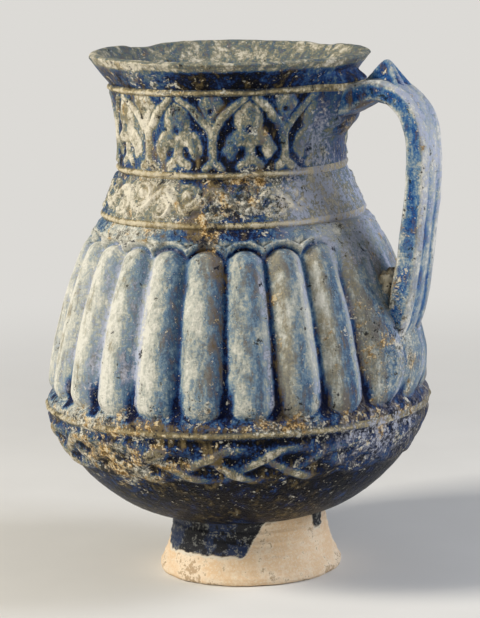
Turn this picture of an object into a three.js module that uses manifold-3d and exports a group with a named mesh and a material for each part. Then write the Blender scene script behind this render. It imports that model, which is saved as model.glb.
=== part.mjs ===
// Moulded ceramic pitcher: a ring foot, a bowl, a fluted belly, a shoulder band, a neck, a flaring lip
// and a reeded strap handle, luted together with clay coils and pads.
// Lengths are millimetres, +Z is up, the handle points along +X and the foot stands on z = 0.
import * as THREE from "three";
import { mergeVertices } from "three/addons/utils/BufferGeometryUtils.js";
import { ConvexGeometry } from "three/addons/geometries/ConvexGeometry.js";
import Module from "manifold-3d";

// Heights of the stages, from the table upwards.
const FOOT_HEIGHT = 20.5;
const BOWL_HEIGHT = 39.5;
const BELLY_HEIGHT = 66;
const SHOULDER_HEIGHT = 16;
const NECK_HEIGHT = 27.5;
const LIP_HEIGHT = 10.5;

// Outer radii at the foot, at the seams and at the rim.
const FOOT_BASE_RADIUS = 31.9;
const FOOT_TOP_RADIUS = 26.6;
const BELLY_RADIUS = 66.4;
const SHOULDER_RADIUS = 45.4;
const NECK_RADIUS = 39.4;
const LIP_BASE_RADIUS = 41.6;
const RIM_RADIUS = 48.2;

// Walls, edges and the off-centre seat of the foot.
const WALL = 5.5;
const FLOOR = 6.5;
const FOOT_WALL = 7;
const FOOT_BEVEL = 1.6;
const FOOT_OFFSET = 3;
const RIM_WALL = 3.8;
const RIM_ROUND = 0.9;

// Curvature of each stage: how far a wall runs straight on from its lower and its upper end.
const FOOT_PULLS = { low: [-1.8, 4.4], high: [0.6, -8] };
const BOWL_PULLS = { low: [14, 3.8], high: [-4.4, -18] };
const BOWL_INNER_PULLS = { low: [34, 0], high: [-2, -17] };
const BELLY_PULLS = { low: [0.2, 15], high: [9.5, -14.5] };
const BELLY_INNER_PULLS = { low: [0.1, 19], high: [11.5, -19] };
const SHOULDER_PULLS = { low: [-2.2, 4], high: [1.3, -4] };
const NECK_PULLS = { low: [-1, 8], high: [-3.4, -7.5] };
const LIP_PULLS = { low: [2.3, 3.3], high: [-2, -2.4] };

// Luting coils in the seams.
const COIL_HEIGHT = 2.4;
const COIL_BULGE = 1.1;
const COIL_INNER_BULGE = 0.7;
const COIL_FLAT = 0.9;

// Upright flutes of the belly, each closed by an arched channel. They stand proud of the plain strip above.
const FLUTE_COUNT = 24;
const FLUTE_DEPTH = 2.8;
const FLUTE_START = 5;
const FLUTE_FADE = 5;
const FLUTE_TOP_PROUD = 3.6;
const ARCH_RISE = 5.5;
const ARCH_DROP = 1.8;
const ARCH_CHANNEL = 1.5;
const STRIP_PROUD = 1;
const STRIP_HEIGHT = 3.3;
const STRIP_STEP = 2;

// Frieze of the neck: leaves of three lobes between the forked ribs of a lattice.
const LEAF_COUNT = 10;
const LEAF_RISE = 1.5;
const LEAF_WIDTH = 9;
const LEAF_LENGTH = 11.5;
const LEAF_LEVEL = 17;
const LOBE_WIDTH = 5.2;
const LOBE_LENGTH = 10;
const LOBE_LEVEL = 9.4;
const LOBE_SPREAD = 4.4;
const LOBE_LEAN = 35;
const STEM_LENGTH = 10;
const STEM_WIDTH = 2.8;
const STEM_LEVEL = 5.6;
const LATTICE_RADIUS = 1.3;
// Course of one rib: across from its stem, where 1 is half a repeat, and up, where 1 is the neck's height.
const LATTICE_COURSE = [
  [0.76, 0.95], [0.5, 0.82], [0.25, 0.69], [0.02, 0.49], [0.02, 0.24], [0.18, 0.13], [0.6, 0.05],
];

// Strap handle: its section, and its centre line measured from the walls that it springs from.
const HANDLE_WIDTH = 18;
const HANDLE_THICKNESS = 7.4;
const HANDLE_EDGE = 2;
const HANDLE_SIDE_HOLLOW = 0.5;
const RIB_COUNT = 3;
const RIB_DEPTH = 1;
const HANDLE_ROOT_DROP = 7;
const HANDLE_ROOT_SLOPE = 5;
const HANDLE_ARCH_REACH = 17.5;
const HANDLE_ARCH_RISE = 5.6;
const HANDLE_REACH = 32;
const HANDLE_BEND_INSET = 2.8;
const HANDLE_BEND_DROP = 9.5;
const HANDLE_SIDE_DROP = 24;
const HANDLE_TAIL_DROP = 34;
const HANDLE_TAIL_LIFT = 3.6;
const HANDLE_TAIL_BOW = 1;

// Thumb rest on the arch: a three-sided spur whose edge points at the lip.
const THUMB_HEIGHT = 6.1;
const THUMB_WIDTH = 17;
const THUMB_FRONT = 8;
const THUMB_BACK = 12;
const THUMB_LEAN = 2;
const THUMB_BED = 0.7;

// Clay pads of the handle: how far they spread round the strap, and their beds on the wall.
const PAD_BED = 1.6;
const PAD_SPREAD = 2;
const UPPER_PAD_HEIGHT = 16;
const UPPER_PAD_DEPTH = 9;
const LOWER_PAD_HEIGHT = 36;
const LOWER_PAD_DEPTH = 11;
const LOWER_PAD_DROP = 6;
const WAD_SIZE = [11, 12, 12];
const WAD_RISE = 12;

// Clearance between pieces that follow each other's curved faces, and the fineness of the facets.
const GAP = 0.3;
const ROUND_SEGMENTS = 48;
const SEGMENTS_PER_FLUTE = 4;
const BAR_SIDES = 6;
const BAR_STEPS = 8;
const ARCH_TURNS = [-90, -60, -30, 0, 30, 60, 90];
const LOBE_SEGMENTS = 10;
const CURVE_STEPS = 6;
const HANDLE_STEPS = 26;
const ARCH_SAMPLES = 200;
const PAD_SEGMENTS = 20;

const footSeam = FOOT_HEIGHT;
const bellySeam = footSeam + BOWL_HEIGHT;
const shoulderSeam = bellySeam + BELLY_HEIGHT;
const neckSeam = shoulderSeam + SHOULDER_HEIGHT;
const lipSeam = neckSeam + NECK_HEIGHT;
const rimTop = lipSeam + LIP_HEIGHT;
const halfCoil = COIL_HEIGHT / 2;

const wasm = await Module();
wasm.setup();

const at = (radius, height) => new THREE.Vector2(radius, height);

// Points of one wall from its lower to its upper end, with the pulls that give it its curve.
function wallCurve(lower, upper, pulls, steps = CURVE_STEPS) {
  const lowControl = lower.clone().add(at(...pulls.low));
  const highControl = upper.clone().add(at(...pulls.high));
  return new THREE.CubicBezierCurve(lower, lowControl, highControl, upper).getPoints(steps);
}

const inwards = (points, wall) => points.map((point) => at(point.x - wall, point.y));

// Outer faces of the stages. Each ends half a coil short of its seams.
const footFace = [
  at(FOOT_BASE_RADIUS - FOOT_BEVEL, 0),
  ...wallCurve(at(FOOT_BASE_RADIUS, FOOT_BEVEL), at(FOOT_TOP_RADIUS, footSeam - halfCoil), FOOT_PULLS, 4),
];
const bowlSeatRadius = FOOT_TOP_RADIUS + FOOT_OFFSET + COIL_BULGE;
const bowlFace = wallCurve(
  at(bowlSeatRadius, footSeam + halfCoil), at(BELLY_RADIUS, bellySeam - halfCoil), BOWL_PULLS);
const fluteTop = shoulderSeam - halfCoil - STRIP_HEIGHT;
const fluteTopRadius = SHOULDER_RADIUS + FLUTE_TOP_PROUD;
const fluteFace = wallCurve(
  at(BELLY_RADIUS, bellySeam + halfCoil), at(fluteTopRadius, fluteTop), BELLY_PULLS, CURVE_STEPS + 3);
const bellyFace = [
  ...fluteFace,
  at(SHOULDER_RADIUS + STRIP_PROUD, fluteTop + STRIP_STEP),
  at(SHOULDER_RADIUS, shoulderSeam - halfCoil),
];
const shoulderFace = wallCurve(
  at(SHOULDER_RADIUS, shoulderSeam + halfCoil), at(NECK_RADIUS, neckSeam - halfCoil), SHOULDER_PULLS, 4);
const neckFace = wallCurve(
  at(NECK_RADIUS, neckSeam + halfCoil), at(LIP_BASE_RADIUS, lipSeam - halfCoil), NECK_PULLS);
const neckFoot = neckFace[0].y;
const neckHead = neckFace.at(-1).y;
const lipFace = wallCurve(
  at(LIP_BASE_RADIUS, lipSeam + halfCoil), at(RIM_RADIUS, rimTop - RIM_ROUND), LIP_PULLS, 4);

// Outer face of the coil in a seam.
function coilFace(radius, seam) {
  return [
    at(radius, seam - halfCoil),
    at(radius + COIL_BULGE, seam - COIL_FLAT / 2),
    at(radius + COIL_BULGE, seam + COIL_FLAT / 2),
    at(radius, seam + halfCoil),
  ];
}

// Solid of revolution about +Z of a profile that runs up the outside and down the inside.
function turned(profile, segments = ROUND_SEGMENTS) {
  return new THREE.LatheGeometry(profile, segments).rotateX(Math.PI / 2);
}

const ring = (outside, inside, segments) =>
  turned([...outside, ...inside.toReversed(), outside[0]], segments);

const wallRing = (face) => ring(face, inwards(face, WALL));

function footRing() {
  const inside = [
    at(FOOT_BASE_RADIUS - FOOT_WALL, 0),
    at(FOOT_TOP_RADIUS - FOOT_WALL, footSeam - halfCoil),
  ];
  return ring(footFace, inside);
}

function coil(radius, seam, wall = WALL) {
  const inside = [
    at(radius - wall, seam - halfCoil),
    at(radius - wall - COIL_INNER_BULGE, seam),
    at(radius - wall, seam + halfCoil),
  ];
  return ring(coilFace(radius, seam), inside);
}

function lowerBowl() {
  const floor = footSeam + halfCoil + FLOOR;
  const inside = wallCurve(
    at(0, floor), at(BELLY_RADIUS - WALL, bellySeam - halfCoil), BOWL_INNER_PULLS);
  return turned([at(0, footSeam + halfCoil), ...bowlFace, ...inside.toReversed()]);
}

const archTop = fluteTop - ARCH_DROP;
const archSpring = archTop - ARCH_RISE;

// Share of the full depth that a groove has at a height: none at the flutes' two ends.
function fluteShare(height) {
  const start = bellySeam + halfCoil + FLUTE_START;
  const rise = THREE.MathUtils.smoothstep(height, start, start + FLUTE_FADE);
  const end = archSpring + FLUTE_FADE / 2;
  const fall = THREE.MathUtils.smoothstep(height, end - FLUTE_FADE, end);
  return rise * (1 - fall);
}

// The belly's outer rows are drawn in between the flutes. One flute lies under the handle.
function flutedBelly() {
  const inside = wallCurve(
    at(BELLY_RADIUS - WALL, bellySeam + halfCoil),
    at(SHOULDER_RADIUS - WALL, shoulderSeam - halfCoil),
    BELLY_INNER_PULLS);
  const geometry = ring(bellyFace, inside, FLUTE_COUNT * SEGMENTS_PER_FLUTE);
  const rows = bellyFace.length + inside.length + 1;
  const position = geometry.getAttribute("position");
  for (let index = 0; index < position.count; index += 1) {
    const x = position.getX(index);
    const y = position.getY(index);
    const groove = 1 - Math.abs(Math.cos(FLUTE_COUNT * Math.atan2(y, x) / 2));
    const cut = FLUTE_DEPTH * groove * fluteShare(position.getZ(index)) / Math.hypot(x, y);
    if (index % rows < fluteFace.length) {
      position.setXY(index, x * (1 - cut), y * (1 - cut));
    }
  }
  const flutes = [...Array(FLUTE_COUNT).keys()];
  const arches = flutes.map((flute) => archChannel(flute * 2 * Math.PI / FLUTE_COUNT));
  return geometryOf(solidOf(geometry).subtract(wasm.Manifold.union(arches)));
}

// Round bar along points of an outer face, each given by its angle and its height.
function barOnFace(face, courses, radius) {
  const points = courses.map(([angle, height]) => {
    const out = radiusAt(face, height);
    return new THREE.Vector3(out * Math.cos(angle), out * Math.sin(angle), height);
  });
  const section = new THREE.Shape(new THREE.EllipseCurve(0, 0, radius, radius).getPoints(BAR_SIDES));
  const extrudePath = new THREE.CatmullRomCurve3(points);
  const settings = { steps: BAR_STEPS, extrudePath, bevelEnabled: false };
  return solidOf(new THREE.ExtrudeGeometry(section, settings));
}

// Channel over one flute, from the groove on its one side to the groove on the other.
function archChannel(angle) {
  const courses = ARCH_TURNS.map((turn) => {
    const swing = THREE.MathUtils.degToRad(turn);
    const across = Math.sin(swing) * Math.PI / FLUTE_COUNT;
    return [angle + across, archSpring + ARCH_RISE * Math.cos(swing)];
  });
  return barOnFace(bellyFace, courses, ARCH_CHANNEL);
}

// Lobe of a leaf on the neck, beside the leaf's middle and leaning away from it.
function leafLobe(angle, width, length, level, beside = 0, lean = 0) {
  const height = neckFoot + level;
  const radius = radiusAt(neckFace, height);
  const lobe = new THREE.SphereGeometry(0.5, LOBE_SEGMENTS, LOBE_SEGMENTS / 2).rotateX(Math.PI / 2);
  lobe.scale(2 * LEAF_RISE, width, length).rotateX(THREE.MathUtils.degToRad(lean));
  return solidOf(lobe.translate(radius, 0, height).rotateZ(angle + beside / radius));
}

function leaf(angle) {
  return [
    leafLobe(angle, LEAF_WIDTH, LEAF_LENGTH, LEAF_LEVEL),
    leafLobe(angle, LOBE_WIDTH, LOBE_LENGTH, LOBE_LEVEL, LOBE_SPREAD, LOBE_LEAN),
    leafLobe(angle, LOBE_WIDTH, LOBE_LENGTH, LOBE_LEVEL, -LOBE_SPREAD, -LOBE_LEAN),
    leafLobe(angle, STEM_WIDTH, STEM_LENGTH, STEM_LEVEL),
  ];
}

function latticeRib(angle, side) {
  const courses = LATTICE_COURSE.map(([across, up]) =>
    [angle + side * across * Math.PI / LEAF_COUNT, neckFoot + up * (neckHead - neckFoot)]);
  return barOnFace(neckFace, courses, LATTICE_RADIUS);
}

// The two leaves beside the handle, and the ribs that would close over them, are left out.
function neckCollar() {
  const repeat = 2 * Math.PI / LEAF_COUNT;
  const raised = [];
  for (let gap = 1; gap < LEAF_COUNT - 1; gap += 1) {
    raised.push(latticeRib(gap * repeat, 1));
    raised.push(...leaf((gap + 0.5) * repeat));
    raised.push(latticeRib((gap + 1) * repeat, -1));
  }
  const frieze = wasm.Manifold.union(raised).trimByPlane([0, 0, 1], neckFoot);
  return geometryOf(solidOf(wallRing(neckFace)).add(frieze.trimByPlane([0, 0, -1], -neckHead)));
}

function flaredLip() {
  const outside = [...lipFace, at(RIM_RADIUS - RIM_ROUND, rimTop)];
  const inside = [
    at(LIP_BASE_RADIUS - WALL, lipSeam + halfCoil),
    at(RIM_RADIUS - RIM_WALL, rimTop - RIM_ROUND),
    at(RIM_RADIUS - RIM_WALL + RIM_ROUND, rimTop),
  ];
  return ring(outside, inside);
}

// Closed solid for cutting, from any closed geometry.
function solidOf(geometry) {
  const bare = new THREE.BufferGeometry();
  bare.setAttribute("position", geometry.getAttribute("position"));
  bare.setIndex(geometry.getIndex());
  const merged = mergeVertices(bare);
  const index = merged.getIndex().array;
  const triangles = [];
  for (let corner = 0; corner < index.length; corner += 3) {
    const [a, b, c] = index.slice(corner, corner + 3);
    if (a !== b && b !== c && c !== a) {
      triangles.push(a, b, c);
    }
  }
  const vertProperties = Float32Array.from(merged.getAttribute("position").array);
  const triVerts = Uint32Array.from(triangles);
  return new wasm.Manifold(new wasm.Mesh({ numProp: 3, vertProperties, triVerts }));
}

function geometryOf(solid) {
  const mesh = solid.getMesh();
  const geometry = new THREE.BufferGeometry();
  geometry.setAttribute("position", new THREE.BufferAttribute(mesh.vertProperties, 3));
  geometry.setIndex(new THREE.BufferAttribute(mesh.triVerts, 1));
  return geometry.toNonIndexed();
}

// The whole body as one turned solid, standing out by a clearance, for cutting what seats on it.
function bodySolid(clearance) {
  const face = [
    ...bowlFace,
    ...coilFace(BELLY_RADIUS, bellySeam),
    ...bellyFace,
    ...coilFace(SHOULDER_RADIUS, shoulderSeam),
    ...shoulderFace,
    ...coilFace(NECK_RADIUS, neckSeam),
    ...neckFace,
    ...coilFace(LIP_BASE_RADIUS, lipSeam),
    ...lipFace,
  ];
  const profile = [at(0, face[0].y), ...inwards(face, -clearance), at(0, rimTop - RIM_ROUND)];
  return solidOf(turned(profile, FLUTE_COUNT * SEGMENTS_PER_FLUTE));
}

// Radius of an outer face at a height, along the two points that span it or that end the face nearest to it.
function radiusAt(face, height) {
  const reached = Math.min(height, face.at(-1).y);
  const above = Math.max(1, face.findIndex((point) => point.y >= reached));
  const [lower, upper] = [face[above - 1], face[above]];
  return THREE.MathUtils.mapLinear(height, lower.y, upper.y, lower.x, upper.x);
}

const rootHeight = lipSeam - HANDLE_ROOT_DROP;
const rootRadius = radiusAt(neckFace, rootHeight);
const archHeight = rootHeight + HANDLE_ARCH_RISE;
const archRadius = rootRadius + HANDLE_ARCH_REACH;
const tailHeight = shoulderSeam - HANDLE_TAIL_DROP;
const tailRadius = radiusAt(bellyFace, tailHeight);

// Centre line of the strap: up and out of the neck, over the arch, and down onto the belly.
function handlePath() {
  const side = new THREE.Vector3(rootRadius + HANDLE_REACH, 0, archHeight - HANDLE_SIDE_DROP);
  const tail = new THREE.Vector3(tailRadius + HANDLE_TAIL_LIFT, 0, tailHeight);
  const lower = side.clone().lerp(tail, 0.6);
  lower.x += HANDLE_TAIL_BOW;
  const end = tail.clone().add(new THREE.Vector3(-HANDLE_THICKNESS, 0, -HANDLE_WIDTH / 2));
  return new THREE.CatmullRomCurve3([
    new THREE.Vector3(rootRadius - WALL, 0, rootHeight - HANDLE_ROOT_SLOPE),
    new THREE.Vector3(rootRadius, 0, rootHeight),
    new THREE.Vector3(archRadius, 0, archHeight),
    new THREE.Vector3(side.x - HANDLE_BEND_INSET, 0, archHeight - HANDLE_BEND_DROP),
    side,
    lower,
    tail,
    end,
  ]);
}

// Section of the strap: rounded edges, a plain inner face, and reeds along the outer face.
function strapSection(clearance) {
  const edge = HANDLE_WIDTH / 2 + clearance;
  const face = HANDLE_THICKNESS / 2 + clearance;
  const pitch = HANDLE_WIDTH / RIB_COUNT;
  const outline = [at(HANDLE_SIDE_HOLLOW - edge, 0), at(-edge, HANDLE_EDGE - face)];
  for (let rib = 0; rib < RIB_COUNT; rib += 1) {
    const crest = (rib - (RIB_COUNT - 1) / 2) * pitch;
    outline.push(at(crest - pitch / 4, -face), at(crest + pitch / 4, -face));
    if (rib < RIB_COUNT - 1) {
      outline.push(at(crest + pitch / 2, RIB_DEPTH - face));
    }
  }
  outline.push(at(edge, HANDLE_EDGE - face), at(edge - HANDLE_SIDE_HOLLOW, 0), at(edge, face - HANDLE_EDGE));
  outline.push(at(edge - HANDLE_EDGE, face), at(HANDLE_EDGE - edge, face), at(-edge, face - HANDLE_EDGE));
  return new THREE.Shape(outline);
}

function strapSweep(clearance) {
  const settings = { steps: HANDLE_STEPS, extrudePath: handlePath(), bevelEnabled: false };
  return solidOf(new THREE.ExtrudeGeometry(strapSection(clearance), settings));
}

const strapClearance = strapSweep(GAP);
const bodyClearance = bodySolid(GAP);

function handleStrap() {
  return geometryOf(strapSweep(0).subtract(bodySolid(2 * GAP + PAD_BED)));
}

// Point just under the strap's outer face over the arch, at a distance from the body's axis.
function archPoint(radius, y) {
  const centre = handlePath().getPoints(ARCH_SAMPLES).find((point) => point.x >= radius);
  return new THREE.Vector3(centre.x, y, centre.z + HANDLE_THICKNESS / 2 - THUMB_BED);
}

// The spur's corners lie inside the strap, which hollows it underneath, so that it sits on the arch.
function thumbRest() {
  const spur = new ConvexGeometry([
    archPoint(archRadius - THUMB_FRONT, 0),
    archPoint(archRadius + THUMB_BACK, THUMB_WIDTH / 2),
    archPoint(archRadius + THUMB_BACK, -THUMB_WIDTH / 2),
    new THREE.Vector3(archRadius + THUMB_LEAN, 0, archHeight + HANDLE_THICKNESS / 2 + THUMB_HEIGHT),
  ]);
  return geometryOf(solidOf(spur).subtract(strapClearance));
}

function lump(size, centre, lean = 0) {
  const round = new THREE.SphereGeometry(0.5, PAD_SEGMENTS, PAD_SEGMENTS / 2).rotateX(Math.PI / 2);
  return solidOf(round.scale(...size).rotateY(lean).translate(...centre));
}

// Lump of clay that beds on the body and takes the trimmed end of the strap.
function handlePad(clay) {
  const strapEnd = strapClearance.subtract(bodySolid(GAP + PAD_BED));
  return clay.subtract(bodyClearance).subtract(strapEnd);
}

const padWidth = HANDLE_WIDTH + 2 * PAD_SPREAD;

const handleUpperPad = () =>
  geometryOf(handlePad(lump([UPPER_PAD_DEPTH, padWidth, UPPER_PAD_HEIGHT], [rootRadius, 0, rootHeight])));

// The lower pad leans with the belly, and its tail is smeared down below the strap.
function lowerPadClay(clearance) {
  const height = tailHeight - LOWER_PAD_DROP;
  const rise = LOWER_PAD_HEIGHT / 2;
  const radius = radiusAt(bellyFace, height);
  const lean = Math.atan2(radiusAt(bellyFace, height + rise) - radiusAt(bellyFace, height - rise), 2 * rise);
  const size = [LOWER_PAD_DEPTH, padWidth, LOWER_PAD_HEIGHT].map((side) => side + 2 * clearance);
  return lump(size, [radius, 0, height], lean);
}

const handleLowerPad = () => geometryOf(handlePad(lowerPadClay(0)));

function crotchWad() {
  const height = tailHeight + WAD_RISE;
  const clay = lump(WAD_SIZE, [radiusAt(bellyFace, height), 0, height]);
  return geometryOf(clay.subtract(bodyClearance).subtract(strapClearance).subtract(lowerPadClay(GAP)));
}

function piece(name, geometry, color, roughness) {
  const mesh = new THREE.Mesh(geometry, new THREE.MeshStandardMaterial({ color, roughness, metalness: 0 }));
  mesh.name = name;
  return mesh;
}

const foot = new THREE.Group();
foot.add(piece("foot_ring", footRing(), "#d4b48e", 0.85));
foot.add(piece("foot_coil", coil(FOOT_TOP_RADIUS, footSeam, FOOT_WALL), "#8f8576", 0.75));

// The body stands off the foot's centre, away from the handle.
const body = new THREE.Group();
body.position.x = -FOOT_OFFSET;
body.add(piece("lower_bowl", lowerBowl(), "#4c5570", 0.4));
body.add(piece("belly_coil", coil(BELLY_RADIUS, bellySeam), "#7d745f", 0.5));
body.add(piece("fluted_belly", flutedBelly(), "#7f8d9c", 0.35));
body.add(piece("shoulder_coil", coil(SHOULDER_RADIUS, shoulderSeam), "#a89c85", 0.5));
body.add(piece("shoulder_band", wallRing(shoulderFace), "#9b8d83", 0.45));
body.add(piece("neck_coil", coil(NECK_RADIUS, neckSeam), "#a89c85", 0.5));
body.add(piece("neck_collar", neckCollar(), "#66708c", 0.4));
body.add(piece("lip_coil", coil(LIP_BASE_RADIUS, lipSeam), "#6d7488", 0.5));
body.add(piece("flared_lip", flaredLip(), "#5a6788", 0.4));
body.add(piece("handle_strap", handleStrap(), "#5f7ba6", 0.35));
body.add(piece("thumb_rest", thumbRest(), "#6b86ad", 0.35));
body.add(piece("handle_upper_pad", handleUpperPad(), "#6b80a4", 0.4));
body.add(piece("handle_lower_pad", handleLowerPad(), "#6d7b92", 0.4));
body.add(piece("crotch_wad", crotchWad(), "#6f5b45", 0.8));

const pitcher = new THREE.Group();
pitcher.add(foot, body);

export default pitcher;
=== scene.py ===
"""A moulded ceramic pitcher in worn cobalt glaze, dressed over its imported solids."""

import functools
import math

import bmesh
import bpy
import numpy as np
from mathutils import Matrix, Vector, geometry, noise


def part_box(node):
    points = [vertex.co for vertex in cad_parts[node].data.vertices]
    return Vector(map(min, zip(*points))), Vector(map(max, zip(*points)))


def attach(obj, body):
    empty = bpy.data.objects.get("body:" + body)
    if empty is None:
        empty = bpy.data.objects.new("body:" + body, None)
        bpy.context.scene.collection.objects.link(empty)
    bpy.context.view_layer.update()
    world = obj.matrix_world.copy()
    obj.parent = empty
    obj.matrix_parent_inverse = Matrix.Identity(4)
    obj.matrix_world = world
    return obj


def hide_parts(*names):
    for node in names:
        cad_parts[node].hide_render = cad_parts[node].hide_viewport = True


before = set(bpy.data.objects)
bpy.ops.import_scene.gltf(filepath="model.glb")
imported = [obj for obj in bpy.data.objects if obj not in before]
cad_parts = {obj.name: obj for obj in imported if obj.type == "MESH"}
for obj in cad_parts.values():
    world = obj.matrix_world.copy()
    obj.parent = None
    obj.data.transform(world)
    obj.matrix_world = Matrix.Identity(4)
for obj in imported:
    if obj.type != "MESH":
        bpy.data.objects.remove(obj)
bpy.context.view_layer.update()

# Lengths are in mm, which MM turns to metres. Bearings go round an upright axis from the handle's side.

MM = 0.001
WELD = MM / 1000
CREASE = math.radians(70)
SECTORS = 24
COIL_BULGE = 1.1
COIL_HALF = 1.2
WALL = 5.5
FOOT_WALL = 7.0
INNER_EVERY = 8

# What a glaze reads at each vertex, from 0 to 1: how proud the spot stands, how deep the glaze pooled, and
# how far it is worn to cream, stained ochre, veiled with haze or crusted. The pool layer also carries painted
# shade, and the cream and haze layers carry painted highlights. INNER is for the inner faces.

LAYERS = ("lift", "pool", "cream", "ochre", "haze", "crust")
INNER = {"lift": 0.6, "pool": 0.1, "cream": 0.1, "ochre": 0.2, "haze": 0, "crust": 0.1}


def seam(coil):
    """(radius, height) of the joint that a coil closes."""
    low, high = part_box(coil)
    return high.y / MM - COIL_BULGE, (low.z + high.z) / 2 / MM


def middle_x(node):
    low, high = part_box(node)
    return (low.x + high.x) / 2 / MM


BODY_AXIS = middle_x("fluted_belly")
FOOT_AXIS = middle_x("foot_ring")
FOOT_SEAM, BELLY_SEAM = seam("foot_coil"), seam("belly_coil")
SHOULDER_SEAM, NECK_SEAM, LIP_SEAM = seam("shoulder_coil"), seam("neck_coil"), seam("lip_coil")
RIM_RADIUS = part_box("flared_lip")[1].y / MM
RIM_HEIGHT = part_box("flared_lip")[1].z / MM
FOOT_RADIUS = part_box("foot_ring")[1].y / MM


# Shapes of the walls.

def wall(lower, upper, low_pull, high_pull, steps):
    """(radius, height) points up one wall, curved by the pulls at its two ends."""
    start, end = Vector(lower), Vector(upper)
    leave, arrive = start + Vector(low_pull), end + Vector(high_pull)
    return [tuple(point) for point in geometry.interpolate_bezier(start, leave, arrive, end, steps)]


def above(joint):
    return joint[0], joint[1] + COIL_HALF


def below(joint):
    return joint[0], joint[1] - COIL_HALF


def inset(profile):
    """The inner face of a wall, from its upper end down, with fewer rows than the outer face has."""
    rows = profile[::INNER_EVERY] + profile[-1:]
    return [(radius - WALL, height) for radius, height in reversed(rows)]


def ways_up(profile):
    """How far each point of a profile lies along the face from its lower end."""
    return np.concatenate([[0], np.cumsum(np.hypot(*np.diff(np.array(profile), axis=0).T))])


def turned(name, profile, axis, steps, closed=True):
    """A wall turned about an upright axis, from a profile that runs up the outside and down the inside.

    One sector is spun in `steps`, and is then set round the axis, which is far quicker than one long spin.
    """
    work = bmesh.new()
    corners = [work.verts.new(((axis + radius) * MM, 0, height * MM)) for radius, height in profile]
    ends = zip(corners, corners[1:] + corners[:1]) if closed else zip(corners, corners[1:])
    edges = [work.edges.new(pair) for pair in ends]
    about = {"cent": (axis * MM, 0, 0), "axis": (0, 0, 1)}
    sector = math.tau / SECTORS
    others = {"angle": math.tau - sector, "steps": SECTORS - 1, "use_duplicate": True}
    bmesh.ops.spin(work, geom=corners + edges, angle=sector, steps=steps, **about)
    bmesh.ops.spin(work, geom=[*work.verts, *work.edges, *work.faces], **others, **about)
    bmesh.ops.remove_doubles(work, verts=work.verts, dist=WELD)
    return finished(name, work)


def put(name, data):
    made = bpy.data.objects.new(name, data)
    bpy.context.scene.collection.objects.link(made)
    return made


def finished(name, work):
    bmesh.ops.recalc_face_normals(work, faces=work.faces)
    mesh = bpy.data.meshes.new(name)
    work.to_mesh(mesh)
    work.free()
    mesh.shade_smooth()
    return put(name, mesh)


def vectors(piece, kind):
    """A vector of one kind for each vertex of a piece."""
    flat = np.empty(len(piece.data.vertices) * 3)
    piece.data.vertices.foreach_get(kind, flat)
    return flat.reshape(-1, 3)


def spots_of(piece):
    return vectors(piece, "co") / MM


def place(piece, spots):
    piece.data.vertices.foreach_set("co", (spots * MM).ravel())
    piece.data.update()


def paint(piece, **masks):
    """Keeps masks from 0 to 1 on a piece's vertices, for its glaze to read."""
    for name, values in masks.items():
        layer = piece.data.attributes.get(name) or piece.data.attributes.new(name, "FLOAT", "POINT")
        filled = np.broadcast_to(np.clip(values, 0, 1), len(piece.data.vertices))
        layer.data.foreach_set("value", filled.astype(np.float32))


def ease(low, high, value):
    """Share that goes softly from 0 at `low` to 1 at `high`."""
    share = np.clip((value - low) / (high - low), 0, 1)
    return share * share * (3 - 2 * share)


def most(*values):
    """The largest of several values at each spot."""
    return functools.reduce(np.maximum, values)


def lumps(spots, size, seed):
    """Smooth unevenness from -1 to 1 at each spot, in lumps about `size` wide."""
    shift = Vector((seed * 17.3, seed * 5.1, seed * 9.7))
    return np.array([noise.noise(Vector(spot) / size + shift) for spot in spots])


def unevenness(spots, *kinds):
    """The sum of several kinds of lumps, each (depth, size, seed)."""
    return sum(depth * lumps(spots, size, seed) for depth, size, seed in kinds)


def turn_from(place_at, bearing, repeat=360):
    """How far round each bearing lies from a place, or from the nearest of its repeats."""
    return (bearing - place_at + repeat / 2) % repeat - repeat / 2


def patches(bearing, height, marks):
    """Soft marks on the body, from rows like those of MARKS."""
    total = np.zeros(len(bearing))
    for place_at, level, wide, tall, strength in marks:
        turn = turn_from(place_at, np.degrees(bearing))
        total += strength * np.exp(-((turn / wide) ** 2) - ((height - level) / tall) ** 2)
    return total


def left_pooled(bearing, height, worst=0.5):
    """Share of the pooled glaze that wear has left, where the worst of it takes away `worst`."""
    return 1 - worst * np.clip(patches(bearing, height, MARKS["cream"]), 0, 1)


def near_handle(bearing, full, none):
    """Share from 1 within `full` degrees of the handle to 0 beyond `none`."""
    return ease(none, full, np.abs(np.degrees(bearing)))


SWELL_OUT = 6
SWELL_EDGE = 23
SWELL_SPAN = 10
SWELL_HOLLOW = 2.2


def swelling(bearing):
    """How far the wall swells where the handle springs from it, in a hollow curve up to the strap's sides."""
    return SWELL_OUT * np.clip((SWELL_EDGE - np.abs(np.degrees(bearing))) / SWELL_SPAN, 0, 1) ** SWELL_HOLLOW


FAR_OUTSIDE = -9.0


def inside(across, along, strokes):
    """How far inside the nearest stroke each spot lies; a stroke is a run of (across, along, half width)."""
    depth = np.full(across.shape, FAR_OUTSIDE)
    for stroke in strokes:
        for (u0, v0, r0), (u1, v1, r1) in zip(stroke, stroke[1:]):
            du, dv = u1 - u0, v1 - v0
            share = np.clip(((across - u0) * du + (along - v0) * dv) / (du * du + dv * dv), 0, 1)
            away = np.hypot(across - u0 - share * du, along - v0 - share * dv)
            depth = np.maximum(depth, r0 + share * (r1 - r0) - away)
    return depth


# Marks of age on the body: (degrees from the handle, height, half width in degrees, half height, strength).
# The cream marks on the left flutes at 92 mm are partly wear and partly painted highlight.

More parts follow.
